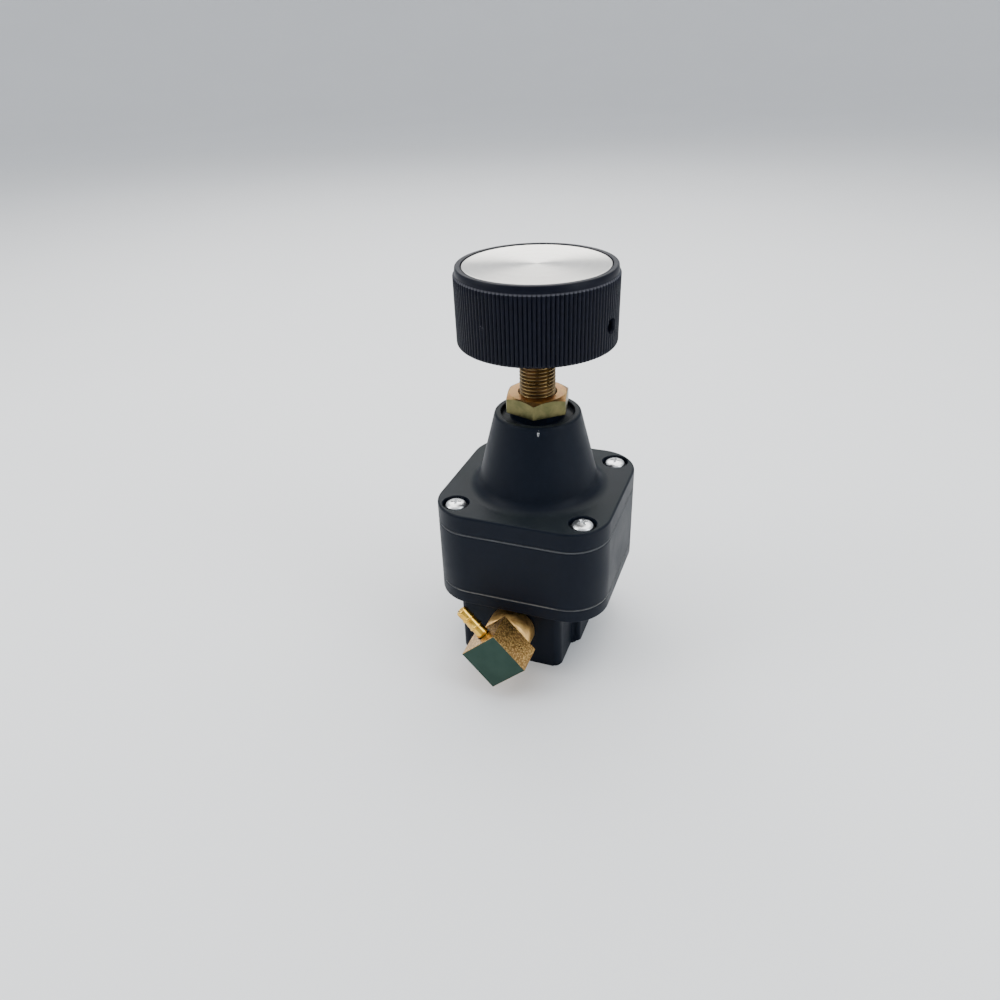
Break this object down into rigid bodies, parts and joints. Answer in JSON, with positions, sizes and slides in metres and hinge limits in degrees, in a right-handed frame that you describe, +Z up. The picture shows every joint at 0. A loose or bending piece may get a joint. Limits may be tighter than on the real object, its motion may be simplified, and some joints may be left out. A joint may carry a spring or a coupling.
{
  "type": "flow control valve",
  "caption": "Knob-set pneumatic control valve: ribbed knob on a threaded neck, cone bonnet, square diaphragm body and a port block with an angled hose-barb elbow.",
  "frame": {"origin": "centre of the base's flat underside, on the axis of the knob", "axes": "+Z up along the knob's axis, -Y out of the port that carries the elbow, +X to the right of it"},
  "size_m": [0.05, 0.063, 0.1131],
  "materials": {
    "casting": "satin black paint",
    "brass": "machined",
    "neck_brass": "threaded, oily",
    "nut_yellow": "yellow passivated",
    "fitting_brass": "dimpled and milled",
    "barb_brass": "polished",
    "steel": "ground",
    "spring_steel": "drawn wire",
    "plated_steel": "zinc plated",
    "zinc": "bright zinc plated",
    "plain_aluminium": "machined",
    "seal_rubber": "moulded",
    "diaphragm_rubber": "fabric-reinforced, cut edge",
    "knob_plastic": "moulded, ribbed",
    "spun_aluminium": "spun",
    "black_steel": "black oxide"
  },
  "bodies": {
    "housing": {"base": "casting", "seat_ring": "brass", "bottom_plug": "plain_aluminium", "plug_o_ring": "seal_rubber", "inlet_screen": "steel", "lower_diaphragm": "diaphragm_rubber", "middle_body": "casting", "upper_diaphragm": "diaphragm_rubber", "bonnet": "casting", "bushing": "neck_brass", "panel_nut": "nut_yellow", "cover_screw_1": "zinc", "cover_screw_2": "zinc", "cover_screw_3": "zinc", "cover_screw_4": "zinc", "elbow_body": "fitting_brass", "elbow_barb": "barb_brass", "valve_spring": "spring_steel"},
    "diaphragm_stack": {"lower_plate": "plain_aluminium", "relief_spool": "plain_aluminium", "upper_plate": "plain_aluminium", "range_spring": "spring_steel"},
    "supply_valve": {"valve_poppet": "steel"},
    "button": {"spring_button": "plated_steel"},
    "knob_set": {"knob": "knob_plastic", "knob_inlay": "spun_aluminium", "knob_set_screw": "black_steel", "adjusting_screw": "steel"}
  },
  "joints": [
    {"name": "button_slide", "type": "slide", "parent": "housing", "child": "button", "axis": [0, 0, -1], "range_m": [0, 0.004], "deforming": ["range_spring"]},
    {"name": "knob_turn", "type": "hinge", "parent": "button", "child": "knob_set", "pos_m": [0, 0, 0.1], "axis": [0, 0, -1], "range_deg": [0, 1440]},
    {"name": "diaphragm_slide", "type": "slide", "parent": "housing", "child": "diaphragm_stack", "axis": [0, 0, -1], "range_m": [0, 0.0008], "stiffness_N_per_m": 2000, "deforming": ["lower_diaphragm", "upper_diaphragm"]},
    {"name": "valve_slide", "type": "slide", "parent": "housing", "child": "supply_valve", "axis": [0, 0, -1], "range_m": [0, 0.0008], "stiffness_N_per_m": 500, "deforming": ["valve_spring"]}
  ],
  "couplings": [
    {"joint": "button_slide", "follows": "knob_turn", "m_per_rad": 0.000159},
    {"joint": "valve_slide", "follows": "diaphragm_slide", "ratio": 1}
  ]
}
